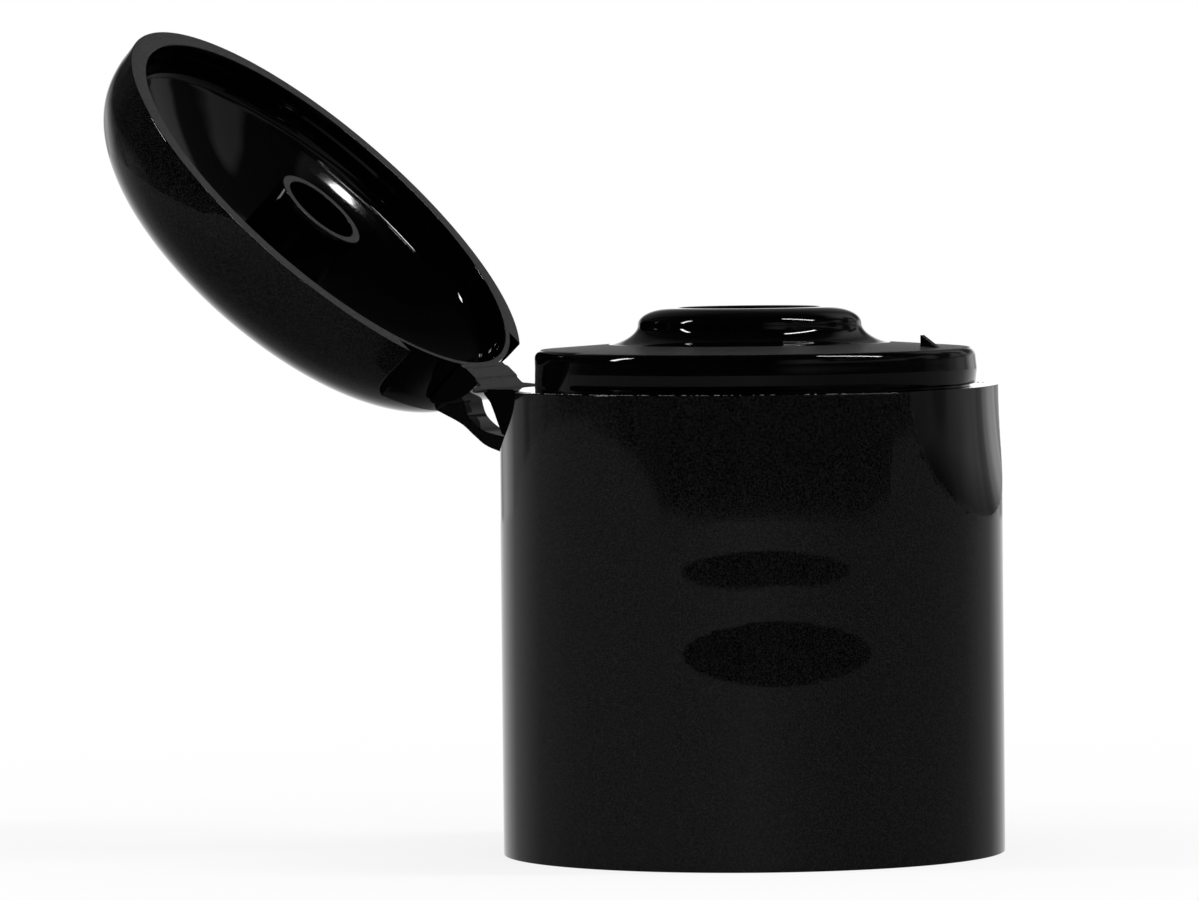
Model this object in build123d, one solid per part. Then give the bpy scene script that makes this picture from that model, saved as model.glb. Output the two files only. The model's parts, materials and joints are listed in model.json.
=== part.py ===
from build123d import *
import math
import os

# Snap top dispensing cap, millimetres, +Z up.
# Origin: centre of the skirt's open mouth, on the cap's axis.
# +X points to the thumb scoop at the front, -X to the hinge.
# The lid stands open, as it was photographed.
# Radii are measured from the cap's axis, and drops down from the skirt's rim.

# Skirt and its bore
skirt_r = 13.1
skirt_h = 24.25
skirt_wall = 0.95
entry_wall = 0.7
entry_depth = 1.35
mouth_chamfer = 0.25
foot_chamfer = 0.12
upper_wall = 1.8
upper_z = 17.6
upper_taper = 0.9

# Neck thread, single start and right-handed
thread_depth = 1.175
thread_pitch = 3.175
thread_turns = 1.3
thread_start = 2.6
thread_root_half = 0.95
thread_crest_half = 0.3

# Sleeve that seals the bottle's mouth
sleeve_gap = 2.0
sleeve_wall = 0.9
sleeve_end_z = 17.2
sleeve_lead = 0.4

# Deck: the raised plate that the lid snaps over
deck_shelf = 1.27
deck_top = 2.03
deck_plate = 1.0
deck_side = 0.95
deck_undercut = 0.09
deck_shoulder = 1.5
deck_shoulder_in = 0.06
deck_round = 0.5
deck_crown = 0.26
deck_groove = 0.36
deck_groove_height = 0.15
deck_wall = 1.15
deck_web = 1.5
relief_depth = 0.6
relief_angle = 60.0

# Spout
spout_r = 5.83
spout_top = 4.2
spout_waist = 3.35
spout_foot = 1.77
spout_foot_rise = 0.04
spout_foot_reach = 0.48
spout_lip = 1.86
mouth_flare = 0.58
mouth_drop = 0.45
orifice_depth = 0.5

# Sealing plug in the lid
plug_r = 2.6
plug_wall = 0.48
plug_tip = 0.48
plug_draft = 0.12
plug_clearance = 0.12

# Gate stub left on the deck by the mould
gate_stub_in = 2.23
gate_stub_length = 1.05
gate_stub_height = 0.72
gate_stub_width = 0.5

# Thumb scoop at the front
scoop_depth = 0.83
scoop_drop = 6.6
scoop_plan_r = 24.0

# Lid
lid_proud = 0.13
lid_clearance = 0.37
lid_height = 6.6
lid_wall = 0.85
lid_gap = 0.05
lid_rim_fullness = 0.73
lid_crown_fullness = 0.77
cavity_side = 1.3
bead_height = 0.9
bead_half = 0.25
bead_depth = 0.12

# Hinge: a film between two blocks, in a window of the skirt and of the lid
open_angle = 136.0
hinge_out = 0.93
hinge_rise = 0.04
window_floor = 0.75
window_body_half = 9.1
window_body_drop = 4.2
window_lid_half = 7.2
window_lid_wall = 0.3
block_half = 2.75
block_out = 0.85
block_top = 0.05
block_edge = 0.25
block_waist_out = 0.36
block_waist_drop = 1.2
block_foot_in = 0.15
block_foot_drop = 2.4
block_root_drop = 2.9
land_out = 0.55
land_edge = 0.4
land_height = 1.65
film_thickness = 0.25
film_inset = 0.05

# Spring strap under the film: thin at the skirt, and a wedge at the lid
strap_half = 1.2
strap_root_drop = 3.78
strap_thickness = 0.28
strap_outer_out = 1.21
strap_outer_drop = 3.17
strap_heel_out = 2.85
strap_heel_drop = 1.92
strap_lid_height = 3.2
strap_inner_out = 2.0
strap_inner_drop = 2.15
strap_throat_out = 2.65
strap_throat_drop = 1.05
strap_tip_height = 1.2

spare = 2.0
seat = 0.5

rim_z = skirt_h
thread_root_r = skirt_r - skirt_wall
thread_crest_r = thread_root_r - thread_depth
entry_r = skirt_r - entry_wall
upper_r = skirt_r - upper_wall
sleeve_outer_r = upper_r - sleeve_gap
sleeve_inner_r = sleeve_outer_r - sleeve_wall
deck_r = skirt_r - deck_shelf
deck_foot_r = deck_r - deck_groove
deck_z = rim_z + deck_top
plate_z = deck_z - deck_plate
spout_z = rim_z + spout_top
orifice_r = plug_r + plug_clearance
lid_r = skirt_r + lid_proud
lid_cavity_r = deck_r + lid_clearance
lid_z = rim_z + lid_gap
floor_r = skirt_r - window_floor
hinge_x = -skirt_r - hinge_out
hinge_z = rim_z + hinge_rise
hinge_axis = Axis((hinge_x, 0, hinge_z), (0, 1, 0))


def at(radius, height):
    """Point of a profile drawn in the plane of the hinge and the scoop."""
    return Vector(radius, 0, height)


def behind(out, drop):
    """Point on the hinge side, so far out from the skirt and down from its rim."""
    return Vector(-skirt_r - out, 0, rim_z - drop)


def flat(edges):
    """Face inside a closed run of edges."""
    return Face(Wire(edges))


def turned(edges):
    """Solid of revolution about the cap's axis."""
    return revolve(flat(edges), Axis.Z)


def prism(edges, half_width):
    """Profile in the hinge plane, made as wide as twice half_width."""
    return extrude(flat(edges), amount=half_width, dir=(0, 1, 0), both=True)


def rounded(start, corner, end, start_fullness=0.55, end_fullness=0.55):
    """Curve from start to end that is drawn towards the corner between them."""
    first = start + (corner - start) * start_fullness
    last = end + (corner - end) * end_fullness
    return Bezier(start, first, last, end)


def opened(out, height):
    """Where a point on the closed lid's hinge side lies once the lid stands open."""
    turn = math.radians(open_angle)
    run = -skirt_r - out - hinge_x
    rise = lid_z + height - hinge_z
    new_x = hinge_x + run * math.cos(turn) - rise * math.sin(turn)
    new_z = hinge_z + run * math.sin(turn) + rise * math.cos(turn)
    return Vector(new_x, 0, new_z)


# Body shell: skirt, deck, spout and sealing sleeve, turned as one outline
deck_ridge = at(deck_r, rim_z + deck_side)
deck_bend = at(deck_r - deck_shoulder_in, rim_z + deck_shoulder)
deck_edge = at(deck_r - deck_round, deck_z)
spout_start = at(spout_r + spout_foot, deck_z + deck_crown)
waist = at(spout_r, rim_z + spout_waist)
crest = at(spout_r - spout_lip, spout_z)
mouth = at(orifice_r + mouth_flare, spout_z - mouth_drop)
body_edges = [
    *Polyline(
        at(entry_r + mouth_chamfer, 0),
        at(skirt_r - foot_chamfer, 0),
        at(skirt_r, foot_chamfer),
        at(skirt_r, rim_z),
        at(deck_foot_r, rim_z),
        at(deck_foot_r, rim_z + deck_groove_height),
        at(deck_r - deck_undercut, rim_z + deck_groove_height),
        deck_ridge,
        deck_bend,
    ).edges(),
    rounded(deck_bend, at(deck_r - deck_shoulder_in, deck_z), deck_edge),
    Line(deck_edge, spout_start),
    Bezier(
        spout_start,
        spout_start + at(-spout_foot * spout_foot_reach, spout_foot_rise),
        at(spout_r, waist.Z - spout_foot * 0.3),
        waist,
    ),
    rounded(waist, at(spout_r, spout_z), crest),
    rounded(crest, at(orifice_r + mouth_flare, spout_z), mouth),
    *Polyline(
        mouth,
        at(orifice_r, deck_z - orifice_depth),
        at(orifice_r, plate_z),
        at(sleeve_inner_r, plate_z),
        at(sleeve_inner_r, sleeve_end_z + sleeve_lead),
        at(sleeve_inner_r + sleeve_wall / 3, sleeve_end_z),
        at(sleeve_outer_r, sleeve_end_z),
        at(sleeve_outer_r, plate_z),
        at(deck_foot_r - deck_wall, plate_z),
        at(deck_foot_r - deck_wall, rim_z - deck_web / 5),
        at(upper_r, rim_z - deck_web),
        at(upper_r, upper_z + upper_taper),
        at(thread_root_r, upper_z),
        at(thread_root_r, entry_depth + mouth_chamfer),
        at(entry_r, entry_depth),
        at(entry_r, mouth_chamfer),
        at(entry_r + mouth_chamfer, 0),
    ).edges(),
]
body = turned(body_edges)

# Neck thread: one trapezoid rib on a helix, its crest trimmed round
helix = Pos(0, 0, thread_start) * Helix(thread_pitch, thread_pitch * thread_turns, thread_root_r)
rib_plane = Plane(origin=helix @ 0, z_dir=helix % 0, x_dir=(-1, 0, 0))
rib_foot = -0.1 * thread_depth
rib_top = 1.2 * thread_depth
rib = rib_plane * Polygon(
    (rib_foot, -thread_root_half),
    (rib_top, -thread_crest_half),
    (rib_top, thread_crest_half),
    (rib_foot, thread_root_half),
    align=None,
)
thread = sweep(rib, path=helix, is_frenet=True)
thread -= Cylinder(thread_crest_r, 4 * skirt_h)
thread &= Cylinder(thread_root_r + skirt_wall / 6, 4 * skirt_h)
body += thread

# The deck's wall stands back on the hinge side, where it clears the closed lid's thin wall
base = (Align.CENTER, Align.CENTER, Align.MIN)
relief_ring = Cylinder(skirt_r, deck_top + spare, align=base)
relief_ring -= Cylinder(deck_r - relief_depth, deck_top + spare, align=base)
relief_rise = 2 * skirt_r * math.tan(math.radians(relief_angle))
relief_corners = [(0, 0), (-2 * skirt_r, relief_rise), (-2 * skirt_r, -relief_rise)]
relief_wedge = extrude(make_face(Polyline(*relief_corners, close=True)), amount=deck_top + spare)
body -= Pos(0, 0, rim_z) * (relief_ring & relief_wedge)

# Thumb scoop: a shallow hollow, turned about an upright axis far behind it
scoop_rim = at(skirt_r - scoop_depth, rim_z)
scoop_end = at(skirt_r, rim_z - scoop_drop)
scoop_edges = [
    TangentArc(scoop_rim, scoop_end, tangent=(0, 0, -1)),
    *Polyline(
        scoop_end,
        at(skirt_r + spare, rim_z - scoop_drop),
        at(skirt_r + spare, rim_z + spare),
        at(skirt_r - scoop_depth, rim_z + spare),
        scoop_rim,
    ).edges(),
]
scoop_axis = Axis((skirt_r - scoop_depth - scoop_plan_r, 0, 0), (0, 0, 1))
scoop = revolve(flat(scoop_edges), scoop_axis)
deck_core = Pos(0, 0, rim_z) * Cylinder(skirt_r - scoop_depth, deck_top + spare, align=base)
body -= scoop - deck_core

# Hinge window in the skirt: an oval pocket down to a round floor
window_oval = Plane.YZ * Ellipse(window_body_half, window_body_drop)
window_cut = Pos(-skirt_r - spare, 0, rim_z) * extrude(window_oval, amount=skirt_r / 2)
body -= window_cut - Cylinder(floor_r, 4 * skirt_h)

# Hinge block that carries the film on the body
block_edges = [
    *Polyline(
        at(-upper_r - seat, rim_z - block_top),
        behind(block_out, block_top),
        behind(block_out, block_top + block_edge),
    ).edges(),
    ThreePointArc(
        behind(block_out, block_top + block_edge),
        behind(block_waist_out, block_waist_drop),
        behind(-block_foot_in, block_foot_drop),
    ),
    *Polyline(
        behind(-block_foot_in, block_foot_drop),
        at(-upper_r - seat, rim_z - block_root_drop),
        at(-upper_r - seat, rim_z - block_top),
    ).edges(),
]
body += prism(block_edges, block_half)

# Gate stub at the front of the deck
stub_x = deck_r - gate_stub_in
stub_foot = deck_z - gate_stub_height / 2
body += prism(
    Polyline(
        at(stub_x, stub_foot),
        at(stub_x, deck_z + gate_stub_height),
        at(stub_x + gate_stub_length, deck_z - block_top),
        at(stub_x + gate_stub_length, stub_foot),
        close=True,
    ).edges(),
    gate_stub_width / 2,
)

# Lid: domed shell with a straight cavity wall and a snap bead
lid_top = lid_z + lid_height
inner_top = lid_top - lid_wall
dome_fullness = (lid_rim_fullness, lid_crown_fullness)
lid_edges = [
    rounded(at(lid_r, lid_z), at(lid_r, lid_top), at(0, lid_top), *dome_fullness),
    Line(at(0, lid_top), at(0, inner_top)),
    rounded(
        at(0, inner_top),
        at(lid_cavity_r, inner_top),
        at(lid_cavity_r, lid_z + cavity_side),
        *reversed(dome_fullness),
    ),
    *Polyline(
        at(lid_cavity_r, lid_z + cavity_side),
        at(lid_cavity_r, lid_z + bead_height + bead_half),
        at(lid_cavity_r - bead_depth, lid_z + bead_height),
        at(lid_cavity_r, lid_z + bead_height - bead_half),
        at(lid_cavity_r, lid_z),
        at(lid_r, lid_z),
    ).edges(),
]
lid = turned(lid_edges)

# Window in the lid, which leaves a thin wall, and the land that carries the film
window_box = Box(skirt_r, 2 * window_lid_half, 2 * lid_height)
lid_floor_r = lid_cavity_r + window_lid_wall
window_lid_floor = skirt_r - lid_floor_r
lid -= Pos(-lid_floor_r - 0.4 * skirt_r, 0, lid_z) * window_box - Cylinder(lid_floor_r, 4 * skirt_h)
land_root = -lid_cavity_r - window_lid_wall / 3
land_edges = [
    *Polyline(
        at(-lid_floor_r, lid_z + land_height),
        at(land_root, lid_z + land_height),
        at(land_root, lid_z),
        at(-skirt_r - land_out, lid_z),
        at(-skirt_r - land_out, lid_z + land_edge),
    ).edges(),
    rounded(
        at(-skirt_r - land_out, lid_z + land_edge),
        at(-skirt_r - land_out, lid_z + land_height),
        at(-lid_floor_r, lid_z + land_height),
    ),
]
lid += prism(land_edges, block_half)

# Hollow plug that seals the orifice
plug_root = inner_top + lid_wall / 3
lid += turned(
    Polyline(
        at(plug_r - plug_wall, lid_z + plug_tip),
        at(plug_r, lid_z + plug_tip),
        at(plug_r + plug_draft, plug_root),
        at(plug_r - plug_wall, plug_root),
        close=True,
    ).edges()
)
lid = lid.rotate(hinge_axis, -open_angle)

# Hinge film between the block and the land, as bent in the open lid
film = prism(
    Polyline(
        behind(block_out, block_top),
        opened(land_out, 0),
        opened(land_out, film_thickness),
        behind((block_out + hinge_out) / 2, block_top + film_thickness * 0.8),
        behind(block_out, block_top + film_thickness),
        close=True,
    ).edges(),
    block_half - film_inset,
)

# Spring strap: it leaves the skirt's window as a thin band and swells to a wedge under the land
strap_root = behind(-window_floor, strap_root_drop)
strap_top = strap_root + Vector(0, 0, strap_thickness)
strap_seat = Vector(seat, 0, 0)
strap_edges = [
    Spline(
        strap_root,
        behind(strap_outer_out, strap_outer_drop),
        behind(strap_heel_out, strap_heel_drop),
        opened(-window_lid_floor, strap_lid_height),
    ),
    *Polyline(
        opened(-window_lid_floor, strap_lid_height),
        opened(-window_lid_floor - seat, strap_lid_height),
        opened(-window_lid_floor, strap_tip_height),
    ).edges(),
    Spline(
        opened(-window_lid_floor, strap_tip_height),
        behind(strap_throat_out, strap_throat_drop),
        behind(strap_inner_out, strap_inner_drop),
        strap_top,
    ),
    *Polyline(strap_top, strap_top + strap_seat, strap_root + strap_seat, strap_root).edges(),
]
strap = prism(strap_edges, strap_half)
strap -= Cylinder(floor_r, 4 * skirt_h)
strap -= lid

os.makedirs("parts", exist_ok=True)
parts = {
    "cap_body": body,
    "lid": lid,
    "hinge_film": film,
    "spring_strap": strap,
}
for name, shape in parts.items():
    print(name, len(shape.solids()), round(shape.volume, 2), shape.is_valid)
    export_step(shape, f"parts/{name}.step")
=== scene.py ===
# %% [markdown]
# # A snap top dispensing cap
# The whole cap is one shot of black polypropylene. Its lid hangs on a thin
# film of the same plastic and stands open, so the spout, the deck and the
# inside of the lid all show. Black plastic has almost no colour to paint:
# what the eye reads is the shape of its reflections. So this lesson spends
# its effort on true curves and clean edges, and on a light room that is
# plain enough for them to read.

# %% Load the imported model
import json
import math

import bmesh
import bpy
from mathutils import Matrix, Vector


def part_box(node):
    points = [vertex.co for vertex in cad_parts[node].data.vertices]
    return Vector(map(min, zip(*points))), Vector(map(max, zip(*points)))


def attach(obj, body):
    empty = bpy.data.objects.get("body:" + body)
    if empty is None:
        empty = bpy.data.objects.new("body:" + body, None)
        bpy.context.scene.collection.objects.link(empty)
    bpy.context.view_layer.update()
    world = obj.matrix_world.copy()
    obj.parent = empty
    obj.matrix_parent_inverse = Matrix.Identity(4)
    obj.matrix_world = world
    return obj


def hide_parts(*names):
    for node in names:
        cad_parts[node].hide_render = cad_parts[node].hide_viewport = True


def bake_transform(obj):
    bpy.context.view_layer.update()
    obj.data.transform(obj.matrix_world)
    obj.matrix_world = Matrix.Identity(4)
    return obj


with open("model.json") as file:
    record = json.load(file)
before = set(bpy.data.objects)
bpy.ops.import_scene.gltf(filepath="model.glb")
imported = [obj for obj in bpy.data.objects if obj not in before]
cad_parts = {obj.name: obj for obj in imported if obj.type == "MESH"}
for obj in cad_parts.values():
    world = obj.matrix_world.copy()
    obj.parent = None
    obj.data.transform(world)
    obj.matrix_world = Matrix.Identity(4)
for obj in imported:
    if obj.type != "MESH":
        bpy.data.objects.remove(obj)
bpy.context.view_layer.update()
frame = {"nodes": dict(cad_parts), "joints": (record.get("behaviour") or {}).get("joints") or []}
print("nodes", sorted(frame["nodes"]))

# %% [markdown]
# ## Sizes
# Everything is in metres, and drawn in the cap's own frame: the origin is the
# centre of the skirt's open mouth, +Z is up, +X points to the thumb scoop and
# -X to the hinge. The outside sizes are read from the frame, so the looks
# stay on the solids. The rest are walls, rounds and gaps of the moulding.

# %% Driving sizes
MM = 0.001

body_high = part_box("cap_body")[1]
hinge = frame["joints"][0]
HINGE = Vector(hinge["pos_m"])
OPEN_TURN = math.radians(hinge["range_deg"][1])

SKIRT_R = body_high.x
RIM_Z = HINGE.z - 0.04 * MM
SPOUT_Z = body_high.z
DECK_Z = RIM_Z + 2.03 * MM
LID_R = SKIRT_R + 0.13 * MM
LID_Z = RIM_Z + 0.05 * MM
LID_HEIGHT = 6.6 * MM
LID_WALL = 0.85 * MM
WINDOW_FLOOR_R = SKIRT_R - 0.75 * MM
UPPER_BORE_R = SKIRT_R - 1.8 * MM
ROOT_R = SKIRT_R - 0.95 * MM
DECK_R = SKIRT_R - 1.27 * MM
CAVITY_R = DECK_R + 0.37 * MM
LID_FLOOR_R = CAVITY_R + 0.3 * MM
ORIFICE_R = 2.72 * MM
PLUG_R = 2.6 * MM
BLOCK_HALF = 2.75 * MM

print("skirt radius", round(SKIRT_R / MM, 2), "rim at", round(RIM_Z / MM, 2), "mm")


def from_axis(radius, height):
    """A point of an outline: its distance from the cap's axis and its height."""
    return Vector((radius, height))


# %% [markdown]
# ## Outlines
# A turned shape is drawn as half of its section. Moulded edges are never
# knife sharp, so each corner of the outline is rounded by a few hundredths of
# a millimetre: that small round is what catches the light along a rim. Long
# straight runs are divided too, because a later cut needs short faces on the
# curved wall to keep its shading smooth.

# %% Tools for outlines
def rounded_corner(before, corner, after, reach, steps=4):
    """Points that round one corner, starting and ending reach away from it."""
    start = corner + (before - corner).normalized() * min(reach, 0.45 * (before - corner).length)
    end = corner + (after - corner).normalized() * min(reach, 0.45 * (after - corner).length)
    points = []
    for step in range(steps + 1):
        t = step / steps
        points.append((1 - t) ** 2 * start + 2 * t * (1 - t) * corner + t ** 2 * end)
    return points


def drawn_to(start, corner, end, fullness=(0.55, 0.55), steps=24):
    """A curve from start to end that is drawn towards the corner between them."""
    first = start + (corner - start) * fullness[0]
    last = end + (corner - end) * fullness[1]
    points = []
    for step in range(steps + 1):
        t = step / steps
        s = 1 - t
        points.append(s ** 3 * start + 3 * s * s * t * first + 3 * s * t * t * last + t ** 3 * end)
    return points


def softened(corners, reach):
    """The corners of a run with all but its two ends rounded."""
    points = [corners[0]]
    for before, corner, after in zip(corners, corners[1:], corners[2:]):
        points += rounded_corner(before, corner, after, reach)
    return points + [corners[-1]]


def joined(*runs):
    """Runs of points as one outline, without the doubled point where two meet."""
    points = []
    for run in runs:
        for point in run:
            if not points or (point - points[-1]).length > 1e-7:
                points.append(point)
    return points


def divided(points, longest, closed):
    """The same outline with no stretch longer than longest."""
    ends = points[1:] + points[:1] if closed else points[1:]
    result = []
    for here, there in zip(points, ends):
        count = max(1, math.ceil((there - here).length / longest))
        result += [here.lerp(there, step / count) for step in range(count)]
    return result if closed else result + [points[-1]]


# %% [markdown]
# ## Turning an outline with Geometry Nodes
# The skirt, the spout and the lid are turned shapes, so one rule makes them
# all: carry the outline round a circle. Curve to Mesh does that, with the
# circle as the path and the outline as the profile. The outline is laid out
# relative to the circle's radius. Merge by Distance closes the pole where an
# outline starts on the axis.

# %% A node tree that turns an outline
def add_node(tree, kind, settings=None, **links):
    """Adds a node, sets its properties, and fills or links its inputs by name."""
    node = tree.nodes.new(kind)
    for key, value in (settings or {}).items():
        setattr(node, key, value)
    for key, value in links.items():
        name = key.replace("_", " ")
        is_place = name[0] == "i" and name[1:].isdigit()
        socket = node.inputs[int(name[1:]) if is_place else name]
        if isinstance(value, bpy.types.NodeSocket):
            tree.links.new(value, socket)
        else:
            socket.default_value = value
    return node


def geometry_tree(name, **asked):
    """A new Geometry Nodes tree that gives a shape, and its inputs by name and kind."""
    tree = bpy.data.node_groups.new(name, "GeometryNodeTree")
    tree.interface.new_socket("Shape", in_out="OUTPUT", socket_type="NodeSocketGeometry")
    for key, kind in asked.items():
        tree.interface.new_socket(
            key.replace("_", " "), in_out="INPUT", socket_type="NodeSocket" + kind
        )
    return tree, tree.nodes.new("NodeGroupInput").outputs


def given_out(tree, shape, finish):
    """Ends a tree: its shape is made real, gets the finish and is given out."""
    real = add_node(tree, "GeometryNodeRealizeInstances", i0=shape)
    finished = add_node(tree, "GeometryNodeSetMaterial", i0=real.outputs[0], Material=finish)
    tree.links.new(finished.outputs[0], tree.nodes.new("NodeGroupOutput").inputs[0])
    return tree


def turning_tree():
    """Geometry Nodes: an outline carried round a circle, and closed at its poles."""
    tree, given = geometry_tree(
        "turned outline", Outline="Geometry", Segments="Int", Path_radius="Float", Finish="Material"
    )
    profile = add_node(tree, "GeometryNodeMeshToCurve", i0=given["Outline"])
    path = add_node(
        tree, "GeometryNodeCurvePrimitiveCircle",
        Resolution=given["Segments"], Radius=given["Path radius"],
    )
    swept = add_node(
        tree, "GeometryNodeCurveToMesh",
        Curve=path.outputs["Curve"], Profile_Curve=profile.outputs[0],
    )
    closed = add_node(tree, "GeometryNodeMergeByDistance", i0=swept.outputs[0], Distance=1e-6)
    return given_out(tree, closed.outputs[0], given["Finish"])


TURNING = turning_tree()
PATH_R = 10 * MM


# %% Tools for meshes
def mesh_object(name, vertices, edges=(), faces=()):
    """A new object in the scene with that mesh."""
    mesh = bpy.data.meshes.new(name)
    mesh.from_pydata([tuple(v) for v in vertices], list(edges), list(faces))
    piece = bpy.data.objects.new(name, mesh)
    bpy.context.scene.collection.objects.link(piece)
    return piece


def set_inputs(modifier, **values):
    """Sets a Geometry Nodes modifier's inputs by their names."""
    for item in modifier.node_group.interface.items_tree:
        key = item.name.replace(" ", "_")
        if item.in_out == "INPUT" and key in values:
            modifier[item.identifier] = values[key]


def settled(piece):
    """Turns what the modifiers make into the piece's own plain mesh."""
    seen = piece.evaluated_get(bpy.context.evaluated_depsgraph_get())
    mesh = bpy.data.meshes.new_from_object(seen)
    piece.modifiers.clear()
    old, piece.data = piece.data, mesh
    mesh.name = piece.name
    bpy.data.meshes.remove(old)
    return piece


def tidied(piece, merge=2e-7):
    """Merges doubled points and turns every face outwards."""
    work = bmesh.new()
    work.from_mesh(piece.data)
    bmesh.ops.remove_doubles(work, verts=work.verts, dist=merge)
    bmesh.ops.dissolve_degenerate(work, edges=work.edges, dist=merge)
    bmesh.ops.recalc_face_normals(work, faces=work.faces)
    if work.calc_volume(signed=True) < 0:
        bmesh.ops.reverse_faces(work, faces=work.faces)
    work.to_mesh(piece.data)
    work.free()
    return piece


def turned(name, outline, finish, segments=360, closed=True):
    """A turned shell from its outline, as a plain mesh."""
    points = [Vector((p.x - PATH_R, -p.y, 0)) for p in outline]
    edges = [(i, i + 1) for i in range(len(points) - 1)]
    if closed:
        edges.append((len(points) - 1, 0))
    piece = mesh_object(name, points, edges)
    modifier = piece.modifiers.new("turn", "NODES")
    modifier.node_group = TURNING
    set_inputs(modifier, Segments=segments, Path_radius=PATH_R, Finish=finish)
    return tidied(settled(piece))


def block_of(name, outline, half_width, steps=1):
    """A straight block: an outline in the hinge's plane, as wide as twice half_width."""
    count = len(outline)
    vertices = []
    for row in range(steps + 1):
        y = half_width * (2 * row / steps - 1)
        vertices += [Vector((p.x, y, p.y)) for p in outline]
    faces = [tuple(range(count)), tuple(range(count * steps, count * (steps + 1)))]
    for row in range(steps):
        for i in range(count):
            j = (i + 1) % count
            faces.append((row * count + i, row * count + j, (row + 1) * count + j, (row + 1) * count + i))
    return tidied(mesh_object(name, vertices, faces=faces))


def bored(name, outline, near_x, far_x):
    """A straight cutter along X, from an outline drawn in Y and Z."""
    count = len(outline)
    points = [Vector((x, p.x, p.y)) for x in (near_x, far_x) for p in outline]
    faces = [tuple(range(count)), tuple(range(count, 2 * count))]
    faces += [(i, (i + 1) % count, count + (i + 1) % count, count + i) for i in range(count)]
    return tidied(mesh_object(name, points, faces=faces))


def combined(piece, other, operation):
    """Cuts other out of piece, adds it, or keeps what they share. Other is used up."""
    modifier = piece.modifiers.new("combine", "BOOLEAN")
    modifier.operation = operation
    modifier.solver = "EXACT"
    modifier.object = other
    settled(piece)
    bpy.data.objects.remove(other)
    return tidied(piece)


def shaded(piece, crease=32, parts=None):
    """Smooth shading that breaks at edges sharper than crease degrees, and between parts."""
    piece.data.shade_smooth()
    piece.data.set_sharp_from_angle(angle=math.radians(crease))
    if parts:
        work = bmesh.new()
        work.from_mesh(piece.data)
        for edge in work.edges:
            kinds = {parts(face.calc_center_median(), face.normal) for face in edge.link_faces}
            if len(kinds) > 1:
                edge.smooth = False
        work.to_mesh(piece.data)
        work.free()
    print(piece.name, len(piece.data.vertices), "points", len(piece.data.polygons), "faces")
    return piece


# %% [markdown]
# ## Finishes
# Polypropylene is a slightly waxy plastic: black pigment with a few paler
# specks, a clear reflection of about 4 percent, and no grain of its own. The
# mould gives the surface. Its outside was polished, which leaves a fine satin.
# The spout and the inside of the lid were polished further, so they gloss. The
# faces where the mould's halves meet were only spark eroded, so they are rough
# and look grey at a glancing angle. A Bevel node rounds the edges that cuts
# leave, by the few hundredths that a mould rounds them.

# %% Colour and material tools
def from_hex(code, alpha=1.0):
    """An sRGB hex colour as the linear values that the shader takes."""
    parts = [int(code[i:i + 2], 16) / 255 for i in (1, 3, 5)]
    linear = [c / 12.92 if c <= 0.04045 else ((c + 0.055) / 1.055) ** 2.4 for c in parts]
    return (*linear, alpha)


POLYPROPYLENE_IOR = 1.49


def polypropylene(name, dark, pale, roughness, grain_mm, grain_depth_mm, wave_depth_mm, wave_mm=3.0):
    """Moulded polypropylene with specks, a fine grain and a slow unevenness."""
    material = bpy.data.materials.new(name)
    material.use_nodes = True
    tree = material.node_tree
    tree.nodes.clear()
    place = tree.nodes.new("ShaderNodeTexCoord").outputs["Object"]
    grain = add_node(
        tree, "ShaderNodeTexNoise",
        Vector=place, Scale=1 / (grain_mm * MM), Detail=2.0, Roughness=0.6,
    )
    wave = add_node(
        tree, "ShaderNodeTexNoise",
        Vector=place, Scale=1 / (wave_mm * MM), Detail=1.0, Roughness=0.4,
    )
    edge = add_node(tree, "ShaderNodeBevel", {"samples": 4}, Radius=0.05 * MM)
    slow = add_node(
        tree, "ShaderNodeBump",
        Height=wave.outputs["Fac"], Distance=wave_depth_mm * MM, Strength=1.0,
        Normal=edge.outputs["Normal"],
    )
    fine = add_node(
        tree, "ShaderNodeBump",
        Height=grain.outputs["Fac"], Distance=grain_depth_mm * MM, Strength=1.0,
        Normal=slow.outputs["Normal"],
    )
    gloss = add_node(
        tree, "ShaderNodeMapRange",
        Value=grain.outputs["Fac"], From_Min=0.3, From_Max=0.7,
        To_Min=roughness * 0.75, To_Max=roughness * 1.3,
    )
    specks = add_node(
        tree, "ShaderNodeMapRange", Value=grain.outputs["Fac"], From_Min=0.4, From_Max=0.68
    )
    pigment = add_node(
        tree, "ShaderNodeMix", {"data_type": "RGBA"},
        Factor=specks.outputs["Result"], i6=from_hex(dark), i7=from_hex(pale),
    )
    skin = add_node(
        tree, "ShaderNodeBsdfPrincipled",
        Base_Color=pigment.outputs[2], IOR=POLYPROPYLENE_IOR,
        Roughness=gloss.outputs["Result"], Normal=fine.outputs["Normal"],
    )
    add_node(tree, "ShaderNodeOutputMaterial", Surface=skin.outputs["BSDF"])
    return material


# %% The black finishes
# The skirt's and the dome's outside: fine specks that show in its reflection.
satin_black = polypropylene(
    "satin moulded black polypropylene", "#000000", "#181818",
    roughness=0.026, grain_mm=0.085, grain_depth_mm=0.00001, wave_depth_mm=0.0006,
)
# The spout, the deck's wall and the inside of the lid: the cleanest gloss.
gloss_black = polypropylene(
    "polished black polypropylene", "#010101", "#050505",
    roughness=0.03, grain_mm=0.1, grain_depth_mm=0.00003, wave_depth_mm=0.0008,
)
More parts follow.
